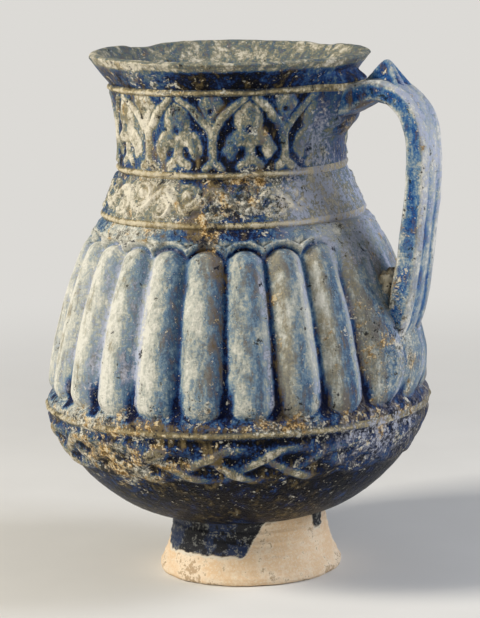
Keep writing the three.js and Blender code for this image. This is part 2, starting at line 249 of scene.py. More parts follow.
MARKS = {
    "cream": [
        (-114, 158, 20, 18, 0.9), (-108, 134, 26, 9, 1.5), (-110, 92, 28, 28, 0.7), (-144, 92, 20, 30, 0.8),
        (-40, 105, 8, 24, 0.5), (-110, 178, 30, 6, 0.6), (-118, 60, 20, 8, 0.9), (-112, 48, 20, 9, 0.55),
        (-116, 121, 14, 4, 1.1), (150, 150, 40, 24, 0.5), (110, 95, 50, 40, 0.5), (40, 132, 30, 9, 0.4),
        (-20, 178, 18, 5, 0.4), (-20, 130, 20, 14, 0.6), (-12, 152, 12, 12, 0.25), (-40, 134, 10, 7, 0.35),
    ],
    "ochre": [
        (-62, 133, 15, 5, 0.85), (-41, 132, 4, 3, 1.0), (-72, 123, 3.5, 7, 0.9), (-88, 126, 14, 4, 0.7),
        (-100, 48, 22, 9, 0.65), (-104, 40, 14, 6, 0.6), (-104, 121, 9, 4, 0.5), (-48, 156, 3, 3, 0.9),
        (-52, 141, 8, 3, 0.9), (-99, 144, 9, 7, 0.7), (-112, 165, 12, 5, 0.5), (-66, 164, 8, 3, 0.5),
        (-85, 62, 45, 3, 0.45), (-44, 64, 12, 4, 0.7), (-108, 175, 8, 3, 0.6), (-64, 179, 14, 2.5, 0.6),
        (120, 46, 30, 8, 0.7), (170, 134, 22, 6, 0.6), (80, 63, 60, 3, 0.45), (-130, 176, 14, 4, 0.4),
        (60, 156, 12, 8, 0.4), (-20, 134, 6, 4, 0.3), (-106, 136, 8, 5, 0.7), (-84, 133, 7, 5, 0.6),
        (-72, 138, 6, 3, 0.6), (-52, 96, 26, 30, 0.22), (-20, 100, 12, 30, 0.3),
    ],
    "haze": [
        (-20, 131, 24, 11, 1.0), (-14, 152, 12, 14, 0.7), (-8, 117, 14, 8, 0.7), (-22, 97, 5, 18, 0.3),
        (24, 130, 22, 16, 0.8), (20, 90, 20, 40, 0.4), (-16, 55, 22, 10, 0.7), (-26, 137, 16, 9, 0.3),
    ],
    "crust": [
        (-106, 48, 24, 13, 1.0), (-118, 62, 18, 6, 0.35), (-116, 121, 16, 4, 0.4), (-72, 123, 5, 6, 0.6),
        (-44, 64, 12, 4, 0.35), (-62, 54, 24, 8, 0.2), (-16, 53, 25, 11, 0.45), (-60, 133, 20, 6, 0.85),
        (-100, 144, 8, 5, 0.4), (-52, 141, 10, 3, 0.5), (-112, 174, 24, 7, 0.5), (-90, 66, 60, 5, 0.3),
        (-10, 84, 12, 14, 0.6), (140, 48, 60, 16, 0.7), (60, 48, 40, 16, 0.6), (150, 134, 50, 9, 0.5),
        (110, 174, 60, 6, 0.4),
    ],
}
ON_FACE = 0.05
FLOOR_CENTRE = 8
TOOL_MARKS = 0.1, 2.4, 3
HAND_WORK = (0.35, 38, 1), (0.14, 9, 2)


def relieve(piece, profile, axis, relief):
    """Lifts a turned piece's outer face by a relief, and takes away the evenness of all its faces.

    From each spot's place, bearing, way up the face and radius, the relief gives how far it is raised, how
    far it swells straight out, and what it adds to the layers.
    """
    spots = spots_of(piece)
    x, y, height = spots.T
    bearing = np.arctan2(y, x - axis)
    radius = np.hypot(x - axis, y)
    rows = np.array(profile)
    slope = np.gradient(rows, axis=0)
    slope /= np.hypot(*slope.T)[:, None]
    way, face, lift_out, lift_up = (
        np.interp(height, rows[:, 1], values)
        for values in (ways_up(profile), rows[:, 0], slope[:, 1], -slope[:, 0]))
    on_face = np.abs(radius - face) < ON_FACE
    marks = relief(spots, bearing, way, radius)
    raised = np.where(on_face, marks["raised"] + unevenness(spots, TOOL_MARKS), 0)
    swell = np.where(on_face, marks.get("swell", 0), 0)
    for name in LAYERS:
        outer = marks.get(name, 0) + patches(bearing, height, MARKS.get(name, []))
        paint(piece, **{name: np.where(on_face, outer, INNER[name])})
    uneven = unevenness(spots, *HAND_WORK) * ease(0, FLOOR_CENTRE, radius)
    radius = radius + raised * lift_out + swell + uneven
    height = np.maximum(height + raised * lift_up, 0)
    place(piece, np.stack([axis + radius * np.cos(bearing), radius * np.sin(bearing), height], -1))


def stand_for(piece, node, material):
    """Lets a piece stand for a solid of the frame."""
    piece.data.set_sharp_from_angle(angle=CREASE)
    piece.data.materials.append(material)
    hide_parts(node)
    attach(piece, "root")


# Glazes and clays.

def linear(colour):
    """Linear colour of an sRGB hex value."""
    parts = [int(colour[index:index + 2], 16) / 255 for index in (1, 3, 5)]
    return [part / 12.92 if part <= 0.04045 else ((part + 0.055) / 1.055) ** 2.4 for part in parts] + [1]


def feed(tree, node, inputs):
    """Sets a node's inputs to values or hex colours, or links them."""
    for name, value in inputs.items():
        if isinstance(value, bpy.types.NodeSocket):
            tree.links.new(value, node.inputs[name])
        else:
            node.inputs[name].default_value = linear(value) if isinstance(value, str) else value


def add(tree, kind, inputs=None, **settings):
    """Adds a node with its inputs and settings."""
    made = tree.nodes.new("ShaderNode" + kind)
    for name, value in settings.items():
        setattr(made, name, value)
    feed(tree, made, inputs or {})
    return made


def blank(name):
    """A new material with its tree, its surface shader and the place of each point on the piece."""
    material = bpy.data.materials.new(name)
    material.use_nodes = True
    tree = material.node_tree
    shader = tree.nodes["Principled BSDF"]
    coords = add(tree, "TexCoord").outputs["Object"]
    return material, tree, shader, coords


def per_metre(size):
    """Scale of a pattern whose repeats are `size` apart."""
    return 1 / (size * MM)


def weighted(tree, terms, start=0.0):
    """The weighted sum of the terms, from a start."""
    total = start
    for source, weight in terms:
        parts = {0: source, 1: weight, 2: total}
        total = add(tree, "Math", parts, operation="MULTIPLY_ADD").outputs[0]
    return total


def mask(tree, terms, low, high, top=1.0):
    """A share from 0 to `top`, as the weighted sum of the terms goes from `low` to `high`."""
    span = {"Value": weighted(tree, terms), "From Min": low, "From Max": high, "To Max": top}
    return add(tree, "MapRange", span, interpolation_type="SMOOTHSTEP").outputs["Result"]


def layered(tree, base, layers):
    """Colour of a base under layers of (share, colour), the last on top."""
    for share, colour in layers:
        base = add(tree, "Mix", {0: share, 6: base, 7: colour}, data_type="RGBA").outputs[2]
    return base


def graded(tree, share, stops):
    """Colour that passes through the stops, (place, colour), as the share goes up."""
    steps = [
        (mask(tree, [(share, 1)], low, high), colour)
        for (low, _), (high, colour) in zip(stops, stops[1:])]
    return layered(tree, stops[0][1], steps)


NOISE_GAIN = 18


def noises(tree, coords, kinds):
    """Uneven values about 0, seldom beyond 2 either way, for each (size, raggedness)."""
    made = []
    for size, ragged in kinds:
        waves = {
            "Vector": coords, "Scale": per_metre(size), "Detail": 3 + 8 * ragged,
            "Roughness": 0.55 + 0.25 * ragged}
        wave = add(tree, "TexNoise", waves).outputs["Fac"]
        made.append(weighted(tree, [(wave, NOISE_GAIN)], -NOISE_GAIN / 2))
    return made


GLAZE_NOISES = (17, 0.2), (6, 0.6), (5.5, 0.7), (1.7, 0.4), (0.8, 0.1)
RUN_NOISE = 2.4, 0.5
RUN_STRETCH = 1, 1, 0.15
GLAZE_IOR = 1.5
WORN_SPECULAR = 0.08


def worn_glaze(name, stops, bias, mottle, speckle):
    """Alkaline glaze stained with cobalt over white fritware, long buried.

    Its colour follows how thick it lies: navy and glassy where it pooled, grey-blue where it ran thin, and
    worn to the pale body on what stands proud. It is mottled in patches and in runs. Earth stains it olive
    and ochre, decay veils it with lavender, and a ragged crust of soil covers it, with dark holes where the
    glaze fell away. Painted shade comes in as thicker glaze, and painted highlights as cream and lavender.
    Its finest grains are drawn large, so that they show.
    """
    material, tree, shader, coords = blank(name)
    lift, pool, cream, ochre, haze, crust = (
        add(tree, "Attribute", attribute_name=layer).outputs["Fac"] for layer in LAYERS)
    broad, patchy, ragged, grit, fine = noises(tree, coords, GLAZE_NOISES)
    drawn_out = add(tree, "Mapping", {"Vector": coords, "Scale": RUN_STRETCH}).outputs["Vector"]
    runs, = noises(tree, drawn_out, [RUN_NOISE])
    grains = weighted(tree, [(grit, 1.0), (fine, 0.8)])
    grainy = weighted(tree, [(crust, 0.08)], speckle)
    thickness = weighted(tree, [
        (broad, 0.04), (patchy, mottle), (runs, 0.06), (grains, grainy),
        (pool, 0.5), (lift, -0.46), (cream, -0.4)], bias)
    stain = mask(tree, [(ochre, 2.4), (patchy, 0.4), (runs, 0.5), (broad, 0.3)], 0.5, 2.6, 0.55)
    uneven = weighted(tree, [(patchy, 0.7), (grains, 0.7), (runs, 0.5)], 2.1)
    # The lavender veil is decay, and on the flutes it is also painted highlight.
    veil_and_highlight = mask(tree, [(haze, uneven)], 0.2, 3.0, 0.85)
    soil = mask(tree, [(ragged, 1.0), (crust, 2.6), (ochre, 0.6), (grains, 0.25)], 2.45, 3.1, 0.9)
    hole = mask(tree, [(ragged, -1.0), (crust, 1.8), (grains, -0.4)], 2.6, 3.2, 0.88)
    fleck = mask(tree, [(grains, 1.0), (crust, 0.5)], 3.2, 3.9, 0.7)
    tone = weighted(tree, [(grains, 0.7), (patchy, 0.4)])
    pale = graded(tree, tone, [(-1.2, "#4a4b49"), (0.1, "#9a978a"), (1.5, "#dcd8ca")])
    tan = graded(tree, tone, [(-1.6, "#3a2c16"), (-0.4, "#7f6235"), (0.6, "#bd9a63"), (1.8, "#e3d0a8")])
    rusty = mask(tree, [(ochre, 1.7), (broad, 0.4), (patchy, 0.6)], 0.4, 1.6)
    colour = layered(tree, graded(tree, thickness, stops), [
        (stain, "#8f7c52"), (veil_and_highlight, "#babfd0"), (hole, "#0d1322"),
        (soil, layered(tree, pale, [(rusty, tan)])), (fleck, "#d2ccba")])
    sheen = {"Value": thickness, "From Min": 0.2, "From Max": 0.75, "To Min": 0.55, "To Max": 0.3}
    gloss = add(tree, "MapRange", sheen).outputs["Result"]
    height = weighted(tree, [(grains, 0.11), (soil, 0.3), (hole, -0.4), (fleck, 0.2), (patchy, 0.12)])
    bump = add(tree, "Bump", {"Height": height, "Strength": 0.8, "Distance": 0.45 * MM})
    feed(tree, shader, {
        "Base Color": colour, "Roughness": weighted(tree, [(soil, 0.35), (crust, 0.1)], gloss),
        "Normal": bump.outputs["Normal"], "IOR": GLAZE_IOR, "Specular IOR Level": WORN_SPECULAR})
    return material


CLAY_NOISES = (13, 0.2), (2.2, 0.6), (0.7, 0.1)
CLAY_SPECULAR = 0.3


def bare_fritware():
    """Unglazed fritware: matt warm buff and sandy, with the glaze's dark apron run down on one side.

    The sand is drawn coarser than it is, so that it shows.
    """
    material, tree, shader, coords = blank("bare fritware")
    apron = add(tree, "Attribute", attribute_name="apron").outputs["Fac"]
    edge = add(tree, "Attribute", attribute_name="apron_edge").outputs["Fac"]
    broad, sand, fine = noises(tree, coords, CLAY_NOISES)
    warm = mask(tree, [(broad, 1.0), (sand, 0.6)], -1.4, 1.4)
    grains = mask(tree, [(sand, 0.6), (fine, 1.0)], 1.0, 2.2, 0.8)
    stain = mask(tree, [(broad, -1.0), (sand, -0.9), (fine, -0.3)], 1.0, 2.6, 0.8)
    specks = mask(tree, [(sand, 1.0), (fine, 0.5)], 0.9, 1.6, 0.9)
    blues = mask(tree, [(broad, 1.0), (sand, 0.5)], 0.0, 1.2)
    glaze = layered(tree, "#0c0f18", [(blues, "#1a2c4e"), (specks, "#7d7d76")])
    colour = layered(tree, "#ecd9be", [
        (warm, "#e0c29c"), (stain, "#ab8f6c"), (grains, "#e7d5bc"),
        (edge, "#ddd3c0"), (apron, glaze)])
    height = weighted(tree, [(sand, 0.12), (fine, 0.07)])
    bump = add(tree, "Bump", {"Height": height, "Strength": 0.6, "Distance": 0.4 * MM})
    feed(tree, shader, {
        "Base Color": colour, "Roughness": weighted(tree, [(apron, -0.45)], 0.86),
        "Normal": bump.outputs["Normal"], "Specular IOR Level": CLAY_SPECULAR})
    return material


cobalt_glaze = worn_glaze("worn cobalt glaze", [
    (0.0, "#d9d2c0"), (0.16, "#bdb6a3"), (0.32, "#86836f"), (0.45, "#5f7072"), (0.57, "#385679"),
    (0.7, "#1f3d6e"), (0.86, "#0d1a3a"), (1.0, "#060913")], bias=0.62, mottle=0.075, speckle=0.035)
flute_glaze = worn_glaze("thin cobalt glaze", [
    (0.0, "#d8d6cb"), (0.2, "#bfbfb4"), (0.34, "#9ea49e"), (0.48, "#70889a"), (0.64, "#486583"),
    (0.78, "#274a78"), (0.9, "#12244f"), (1.0, "#0a112c")], bias=0.54, mottle=0.04, speckle=0.035)
handle_glaze = worn_glaze("speckled cobalt glaze", [
    (0.0, "#dcdad2"), (0.2, "#b9bbb4"), (0.36, "#8f9fa8"), (0.52, "#5f7f9c"), (0.68, "#2f5f96"),
    (0.84, "#1a4580"), (1.0, "#0c2450")], bias=0.5, mottle=0.1, speckle=0.04)
clay_glaze = worn_glaze("glazed luting clay", [
    (0.0, "#cbc0a6"), (0.2, "#a39675"), (0.4, "#777059"), (0.58, "#575a55"), (0.75, "#2b394c"),
    (1.0, "#0a101e")], bias=0.5, mottle=0.1, speckle=0.05)
fritware = bare_fritware()


# The foot. A run of glaze on it is (bearing, full to and gone by so many degrees either side, height of its
# lower edge, rise of the edge beside it, raggedness): the apron, and a drip.

FOOT_BEVEL = 1.6
FOOT_FLARE = (-1.8, 4.4), (0.6, -8)
FOOT_RUNS = (-105, 34, 56, 9.5, 14, 1), (-2, 5, 9, 15.5, 8, 0.5)
RUN_THICK = 0.3
RUN_EDGE = (1.6, 5, 4), (3.2, 14, 5), (0.6, 1.6, 6)


def glaze_apron(piece):
    """Paints the apron of glaze that ran down the foot, and its pale edge, and gives it its thickness."""
    spots = spots_of(piece)
    x, y, height = spots.T
    degrees = np.degrees(np.arctan2(y, x - FOOT_AXIS))
    uneven = unevenness(spots, *RUN_EDGE)
    edges = [
        level + rise * ease(full, gone, np.abs(turn_from(place_at, degrees))) + ragged * uneven
        for place_at, full, gone, level, rise, ragged in FOOT_RUNS]
    over = height - np.minimum(*edges)
    reach = np.hypot(x - FOOT_AXIS, y)
    outside = reach > FOOT_SEAM[0] - 1
    apron = ease(-0.2, 0.3, over) * outside
    stretch = 1 + RUN_THICK * apron / np.maximum(reach, 1)
    place(piece, np.stack([FOOT_AXIS + (x - FOOT_AXIS) * stretch, y * stretch, height], -1))
    paint(piece, apron=apron, apron_edge=ease(-1.2, -0.4, over) * (1 - apron) * outside)


def bare_foot():
    """Thrown ring foot, bare but for an apron of glaze on the side away from the handle."""
    face = [(FOOT_RADIUS - FOOT_BEVEL, 0), (FOOT_RADIUS - 0.5, 0.4)]
    face += wall((FOOT_RADIUS, FOOT_BEVEL), below(FOOT_SEAM), *FOOT_FLARE, steps=48)
    inner = [(FOOT_SEAM[0] - FOOT_WALL, face[-1][1]), (FOOT_RADIUS - FOOT_WALL, 0)]
    foot = turned("bare_foot", face + inner, FOOT_AXIS, steps=14)

    def thrown(spots, bearing, way, radius):
        rings = 0.12 * np.sin(way * 2.1) + 0.08 * np.sin(way * 3.7 + 1)
        return {"raised": rings + 0.25 * lumps(spots, 7, 9)}

    relieve(foot, face, FOOT_AXIS, thrown)
    glaze_apron(foot)
    stand_for(foot, "foot_ring", fritware)


# The coils that show as ridges between the stages.

COIL_ROWS = 17
COIL_HOLLOW = 0.6


def ridge(name, joint, axis, depth, proud, wear, swell=0.0):
    """A coil of soft clay squeezed out of a joint into a worn bead, and smoothed away by the handle."""
    radius, height = joint
    face = [(radius, height + rise) for rise in np.linspace(-COIL_HALF, COIL_HALF, COIL_ROWS)]
    inner = [
        (radius - depth, height + COIL_HALF), (radius - depth - COIL_HOLLOW, height),
        (radius - depth, height - COIL_HALF)]
    coil = turned(name, face + inner, axis, steps=20)

    def squeezed(spots, bearing, way, radius):
        off_middle = np.abs(spots[:, 2] - height + 0.25 * lumps(spots, 11, 7))
        bead = ease(1.15, 0.15, off_middle)
        left = 1 - near_handle(bearing, 16, 34)
        worn = 0.75 + 0.5 * lumps(spots, 5, 8)
        return {
            "raised": proud * bead * worn * left, "swell": swell * swelling(bearing),
            "lift": (0.1 + wear * bead) * left + 0.3 * (1 - left), "pool": 0.5 * (1 - bead) * left,
            "ochre": 0.2 * bead, "crust": 0.2 + 0.3 * lumps(spots, 8, 10)}

    relieve(coil, face, axis, squeezed)
    return coil


def body_ridge(name, node, joint, proud, wear, swell=0.0):
    coil = ridge(name, joint, BODY_AXIS, WALL, proud, wear, swell)
    stand_for(coil, node, clay_glaze)


# The bowl under the belly, with its band of braid.

BRAID_STRANDS = 3
BRAID_TURNS = 7
BRAID_RADIUS = 63
BRAID_SWING = 6.2
BRAID_HALF = 2.9
BRAID_DROP = 9.8
STRAND_RISE = 1.6
STRAND_WEAVE = 0.5
BOWL_CURVE = (14, 3.8), (-4.4, -18)
BOWL_INNER_CURVE = (34, 0), (-2, -17)
FLOOR = 6.5
BOWL_SEAT = above((FOOT_SEAM[0] + abs(BODY_AXIS - FOOT_AXIS) + COIL_BULGE, FOOT_SEAM[1]))
BOWL_FACE = wall(BOWL_SEAT, below(BELLY_SEAM), *BOWL_CURVE, steps=84)
BOWL_LENGTH = sum(math.dist(low, high) for low, high in zip(BOWL_FACE, BOWL_FACE[1:]))


def braid(spots, bearing, way, radius):
    """Three strands that swing over and under each other."""
    from_top = BOWL_LENGTH - way
    down = from_top - BRAID_DROP + 0.5 * lumps(spots, 6, 21)
    phase = (bearing + 0.02 * lumps(spots, 9, 22)) * BRAID_TURNS
    raised = np.zeros(len(way))
    nearest = np.full(len(way), FAR_OUTSIDE)
    for strand in range(BRAID_STRANDS):
        turn = phase + strand * math.tau / BRAID_STRANDS
        tilt = np.cos(np.arctan(BRAID_SWING * BRAID_TURNS / BRAID_RADIUS * np.cos(turn)))
        depth = BRAID_HALF - np.abs(down - BRAID_SWING * np.sin(turn)) * tilt
        rise = STRAND_RISE + STRAND_WEAVE * np.sin(2 * turn)
        raised = np.maximum(raised, rise * ease(-0.5, 2.2, depth))
        nearest = np.maximum(nearest, depth)
    in_band = ease(9.8, 8.6, np.abs(down))
    worn = (0.8 + 0.4 * lumps(spots, 8, 23)) * (1 - 0.55 * near_handle(bearing, 24, 42))
    trough = 0.5 * ease(0.2, 1.0, from_top) * ease(2.6, 1.4, from_top)
    crest = ease(0.8, 1.7, raised * worn) * in_band
    # Under the band the bowl is painted in shade: thicker glaze, less ochre and less crust, though more crust
    # stays on the left.
    shaded_underside = ease(6, 9, down)
    olive = 0.55 - 0.45 * near_handle(bearing, 24, 48)
    crust_cut_in_shade = 0.6 - 0.4 * ease(-78, -98, np.degrees(bearing))
    pool = most((1 - ease(-0.4, 0.6, nearest)) * in_band, 0.75 * shaded_underside, trough * 2)
    return {
        "raised": raised * in_band * worn - trough, "lift": 0.78 * crest,
        "pool": 0.5 + 0.5 * pool - 0.45 * crest, "ochre": olive * crest - 0.3 * shaded_underside,
        "crust": 0.12 - crust_cut_in_shade * shaded_underside}


def lower_bowl():
    radius, height = BOWL_SEAT
    top = BELLY_SEAM[0] - WALL, BOWL_FACE[-1][1]
    inner = wall((0, height + FLOOR), top, *BOWL_INNER_CURVE, steps=18)
    under = [(0, height), (radius / 2, height)]
    bowl = turned("braided_bowl", under + BOWL_FACE + inner[::-1], BODY_AXIS, steps=24, closed=False)
    relieve(bowl, BOWL_FACE, BODY_AXIS, braid)
    stand_for(bowl, "lower_bowl", cobalt_glaze)


# The fluted belly.

FLUTES = 24
FLUTE_PHASE = math.radians(1.2)
FLUTE_DEPTH = 3.3
FLUTE_FULLNESS = 2.3
FLUTE_CHANNEL = 0.3
FLUTE_FOOT = 2.6
FLUTE_FOOT_ROUND = 6.5
ARCH_BAND = 2.4
ARCH_RADIUS = 52
ARCH_ROUND = 0.85
BAND_SUNK = 0.6
GAP_SUNK = 1.5
FLUTE_TOP_RADIUS = 49.0
STRIP_RADIUS = 46.4
STRIP_HEIGHT = 3.3
STRIP_STEP = 2.0
STRIP_FILL = 1.6
TAIL_MOUND = 3.6
BELLY_CURVE = (0.2, 15), (9.5, -14.5)
BELLY_INNER_CURVE = (0.1, 19), (11.5, -19)
BELLY_LOW, BELLY_HIGH = above(BELLY_SEAM), below(SHOULDER_SEAM)
FLUTE_TOP = BELLY_HIGH[1] - STRIP_HEIGHT
BELLY_FACE = wall(BELLY_LOW, (FLUTE_TOP_RADIUS, FLUTE_TOP), *BELLY_CURVE, steps=104) + [
    (FLUTE_TOP_RADIUS - 0.9, FLUTE_TOP + STRIP_STEP / 3), (STRIP_RADIUS + 0.8, FLUTE_TOP + STRIP_STEP / 1.5),
    (STRIP_RADIUS, FLUTE_TOP + STRIP_STEP), (STRIP_RADIUS - 0.5, BELLY_HIGH[1] - 0.6), BELLY_HIGH]
TOP_WAY = float(np.interp(FLUTE_TOP, [height for _, height in BELLY_FACE], ways_up(BELLY_FACE))) + 0.6


def fluted(spots, bearing, way, radius):
    """Upright lobes under arched bands, with V-shaped gaps between the arches and a plain foot.

    Each lobe is painted lit on one flank and painted in shade on the other.
    """
    height = spots[:, 2]
    degrees = np.degrees(bearing)
    pitch = math.tau / FLUTES
    across = turn_from(FLUTE_PHASE, bearing, pitch) * radius + 0.25 * lumps(spots, 9, 31)
    half = pitch * radius / 2 - FLUTE_CHANNEL
    half_top = pitch * ARCH_RADIUS / 2 - FLUTE_CHANNEL
    arch_rise = half_top * ARCH_ROUND
    arch = TOP_WAY - ARCH_BAND - arch_rise
    over = np.maximum(way - arch, 0) * half / arch_rise
    under = np.maximum(FLUTE_FOOT + FLUTE_FOOT_ROUND - way, 0) * half / FLUTE_FOOT_ROUND
    depth = half - np.hypot(across, np.maximum(over, under))
    share = np.clip(depth / half, 0, 1)
    lobe = FLUTE_DEPTH * (1 - (1 - share) ** FLUTE_FULLNESS)
    on_arch = ease(0.5, 4.0, way - arch)
    across_band = (-depth - 0.5) / ARCH_BAND
    band = ease(0, 0.45, across_band) * ease(1.25, 0.65, across_band) * on_arch
    gap = ease(0.95, 1.3, across_band) * on_arch
    foot = ease(FLUTE_FOOT + 3.4, 0.6, way)
    ground = most((FLUTE_DEPTH - BAND_SUNK) * band, (FLUTE_DEPTH - GAP_SUNK) * gap, FLUTE_DEPTH * foot)
    strip = ease(TOP_WAY - 0.2, TOP_WAY + 1.0, way)
    by_handle = near_handle(bearing, 18, 36)
    by_tail = near_handle(bearing, 12, 19)
    smooth = np.maximum(by_handle * ease(108, 118, height), by_tail * ease(62, 74, height))
    fill = STRIP_FILL * strip * by_handle
    tail = TAIL_MOUND * ease(104, 88, height) * ease(64, 82, height) * ease(22, 8, np.abs(degrees))
    raised = (np.maximum(lobe, ground) - FLUTE_DEPTH) * (1 - strip) * (1 - smooth)

    # Painted light on the lobes. Away from the handle, the flank of each lobe that faces the handle is
    # painted in shade and the other flank painted lit. Near the handle, a painted shade stripe runs down each
    # lobe and the flank that faces the handle is painted lit. The ochre on the flank away from the painted
    # light is partly stain and partly painted shade.
    flank = np.clip(across / half, -1, 1)
    on_lobe = ease(0.0, 0.15, share) * (1 - strip)
    far_left = ease(-98, -124, degrees)
    on_left = ease(-76, -96, degrees)
    turned_on = ease(-92, -70, degrees)
    on_right = ease(-66, -50, degrees)
    shade_stripe = 0.6 * ease(-0.5, 0.0, flank) * ease(0.6, 0.25, flank)
    shaded = (ease(-0.15, 0.75, flank) * (1 - on_right) + shade_stripe * on_right) * on_lobe
    sunlit = ease(0.35, 0.7, flank) * on_right * on_lobe
    stain_and_shade = ease(-0.3, 0.4, flank) * (1 - on_right) + ease(0.3, -0.4, flank) * on_right
    edges = ease(0.3, 0.05, share) * on_lobe
    in_groove = ease(1.2, 0.1, depth) * ease(-1.2, -0.3, depth)
    above_foot = ease(70, 82, height)
    # Glaze pools deeper in the lower grooves; on the left, above the foot, the grooves are made paler as
    # painted light.
    groove_pool_and_light = np.maximum(0.6 + 0.4 * ease(112, 68, height) - 0.5 * on_left * above_foot, on_arch)
    between = pitch * radius / 2 - np.abs(across)
    foot_pool = ease(3.4, 1.2, between) * ease(1.0, 2.8, way) * ease(16, 9, way)
    crusted = ease(5.0, 1.5, way) * (1 - foot_pool)
    ragged = 0.75 + 0.6 * lumps(spots, 7, 32)

    # The proud lobes and bands wear pale, but not where the flank is painted in shade.
    lift = most(ease(0.04, 0.4, share) * 0.42, 0.35 * band, 0.5 * gap) * (1 - strip) * (1 - 0.9 * shaded)
    lift = lift * (1 - 0.8 * foot)
    # The painted shade on the flank is thicker glaze, less on the far left and, on the left, higher up.
    flank_pool = (0.55 - 0.1 * turned_on - 0.3 * far_left) * shaded
    flank_pool = flank_pool * (1 - 0.4 * on_left * ease(75, 105, height))
    pool = most(in_groove * groove_pool_and_light, foot_pool, flank_pool) * (1 - strip)
    worst = 0.9 * np.maximum(strip, foot) * (1 - foot_pool)
    pool = most(pool, strip, 0.9 * foot) * left_pooled(bearing, height, worst)
    # Lavender is painted highlight on the lit flank and in the lit grooves on the left, and tints the painted
    # shade there; towards the handle it is painted highlight on the lit flank.
    haze = 1.4 * ease(-0.45, -0.8, flank) * on_lobe + in_groove * above_foot + 0.4 * shaded
    crust = most(0.4 * crusted, 0.08 * strip, 0.5 * np.maximum(gap, band), 0.3 * edges) * ragged
    # Cream on the flank away from the handle is painted highlight, and from the centre to the handle the
    # lobes lose some lift as painted shade.
    return {
        "raised": raised, "swell": fill + tail,
        "lift": lift * (1 - 0.25 * turned_on) * (1 - smooth) + 0.3 * smooth,
        "pool": pool * (1 - smooth) + 0.25 * smooth,
        "cream": 0.15 * ease(0.1, -0.6, flank) * on_lobe - 0.9 * foot_pool,
        "ochre": (0.15 + 0.45 * turned_on) * stain_and_shade * on_lobe + 0.15 * foot - 0.5 * foot_pool,
        "haze": haze * on_left + 0.6 * sunlit,
        "crust": crust + 0.1 * smooth - 0.4 * foot_pool}


def fluted_belly():
    low, high = ((radius - WALL, height) for radius, height in (BELLY_LOW, BELLY_HIGH))
    inner = wall(low, high, *BELLY_INNER_CURVE, steps=16)
    belly = turned("fluted_belly_wall", BELLY_FACE + inner[::-1], BODY_AXIS, steps=30)
    relieve(belly, BELLY_FACE, BODY_AXIS, fluted)
    stand_for(belly, "fluted_belly", flute_glaze)


# The shoulder, with a running scroll.

SCROLLS = 14
SCROLL_LEVEL = 7.2
SCROLL_SWING = 3.6
STEM_HALF = 1.3
BOSS_HALF = 1.7
HOLLOWS = (0.25, 4.6, 1), (0.75, 9.8, -1)
SHOULDER_CURVE = (-2.2, 4), (1.3, -4)


def boss(across, level):
    return [(across, level, BOSS_HALF), (across + 0.1, level, BOSS_HALF)]


def scroll_strokes(length):
    """One repeat of the scroll: a wave with a curl and a boss in each of its two hollows."""
    strokes = [[
        (share * length, SCROLL_LEVEL + SCROLL_SWING * math.sin(share * math.tau), STEM_HALF)
        for share in np.linspace(-0.25, 1.25, 37)]]
    for middle, level, turn in HOLLOWS:
        curl = []
        for share in np.linspace(0, 1, 13):
            angle = turn * (math.pi / 2 - 4.0 * share)
            reach = 4.0 - 1.2 * share
            across, along = middle * length + reach * math.cos(angle), level + reach * math.sin(angle)
            curl.append((across, along, 1.1 - 0.3 * share))
        strokes += [curl, boss(middle * length, level)]
    return strokes


def scroll(spots, bearing, way, radius):
    repeat = math.tau / SCROLLS
    mean = (SHOULDER_SEAM[0] + NECK_SEAM[0]) / 2
    low_middle, low_level, _ = HOLLOWS[0]
    across = (bearing % repeat) * mean + 0.6 * lumps(spots, 5, 41)
    depth = inside(across, way + 0.6 * lumps(spots, 5, 42), scroll_strokes(repeat * mean))
    band = ease(0.4, 1.4, way) * ease(14.8, 13.4, way)
    left = (1 - near_handle(bearing, 18, 40)) * (0.75 + 0.35 * lumps(spots, 9, 43))
    crest = ease(-0.2, 0.9, depth) * band
    dark = ease(12.4, 14.2, way) * (1 - near_handle(bearing, 18, 36))
    eye = ease(0.4, 1.3, inside(across, way, [boss(low_middle * repeat * mean, low_level)]))
    pool = most((1 - ease(-0.8, 0.4, depth)) * 0.65 * left, dark, 0.5 * eye)
    return {
        "raised": (1.4 * ease(-0.6, 1.2, depth) - 0.6 * eye) * band * left - 0.2 * dark,
        "lift": (0.55 * crest - 0.3 * eye) * left + 0.05 * (1 - left),
        "pool": pool * left_pooled(bearing, spots[:, 2], 0.75),
        "crust": 0.1 + 0.25 * left + 0.5 * dark + 0.3 * lumps(spots, 8, 44)}


# The neck, with its frieze of leaves. Half of one repeat is drawn, from a leaf's middle to the rib beside it.

LEAVES = 10
LEAF_PHASE = math.radians(18)
LEAF_RADIUS = 39
RIB = 12.25
NECK_CURVE = (-1, 8), (-3.4, -7.5)
LEAF = [
    [(0, 23.2, 0.5), (0, 20.2, 2.9), (0, 17.0, 4.9), (0, 14.2, 4.2)],
    [(1.4, 12.6, 2.8), (4.8, 9.8, 3.0), (6.6, 7.4, 2.3), (6.2, 5.4, 1.4)],
    [(0, 11, 1.7), (0, 4.8, 1.4)],
    [(0, 4.8, 1.4), (3.4, 2.0, 1.2)],
]
LATTICE = [
    [(1.6, 24.8, 1.2), (5.8, 21.0, 1.3), (9, 17.4, 1.4), (11.2, 14.2, 1.5), (RIB, 12.4, 1.7)],
    [(RIB, 12.4, 1.7), (RIB, 6, 1.4)],
    [(RIB, 6, 1.4), (12.0, 3.2, 1.5), (9.6, 1.2, 1.2)],
]
SPANDREL = [[(RIB, 22.4, 4.4), (RIB, 16.8, 1.2)]]
EYES = [
    [(0, 14.4, 1.1), (0, 13.4, 1.0)],
    [(RIB, 20.4, 1.0), (RIB, 20.5, 1.0)],
    [(2.9, 7.4, 1.2), (3.0, 6.6, 1.0)],
]


